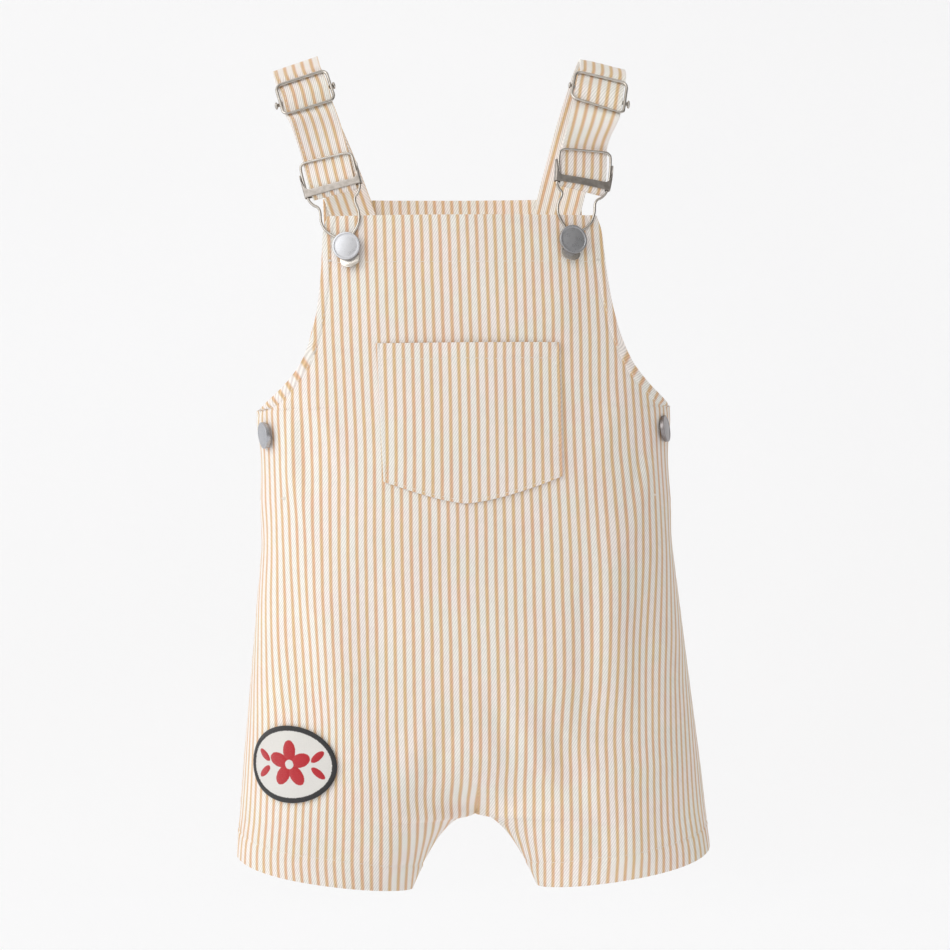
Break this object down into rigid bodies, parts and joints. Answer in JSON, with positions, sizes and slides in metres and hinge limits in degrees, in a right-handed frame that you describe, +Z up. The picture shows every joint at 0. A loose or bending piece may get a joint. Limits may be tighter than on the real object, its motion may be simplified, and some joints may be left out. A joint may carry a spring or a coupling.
{
  "type": "baby romper",
  "caption": "Striped cotton dungaree romper with short legs, filled out as if worn, with a bib, chest pocket, hooked shoulder straps and buttoned sides.",
  "frame": {"origin": "midway between the tops of the two shoulder straps, where a wearer's shoulders hold the romper", "axes": "+Z up, the front of the garment faces -Y, +X towards the viewer's right of the front"},
  "size_m": [0.2569, 0.1227, 0.4474],
  "materials": {
    "twill": "matte cotton twill, white with narrow tan stripes woven in",
    "embroidery": "embroidered badge, satin-stitched border",
    "polished_steel": "bright nickel-plated wire and sheet",
    "satin_steel": "satin nickel-plated button"
  },
  "bodies": {
    "root": {"front": "twill", "back": "twill", "pocket": "twill", "strap_left": "twill", "strap_right": "twill", "badge": "embroidery", "slider_frame_left": "polished_steel", "slider_frame_right": "polished_steel", "slider_bar_left": "polished_steel", "slider_bar_right": "polished_steel", "hook_wire_left": "polished_steel", "hook_wire_right": "polished_steel", "hook_guard_left": "polished_steel", "hook_guard_right": "polished_steel", "hook_lip_left": "polished_steel", "hook_lip_right": "polished_steel", "bib_button_left": "satin_steel", "bib_button_right": "satin_steel", "side_button_left": "satin_steel", "side_button_right": "satin_steel"}
  },
  "joints": []
}
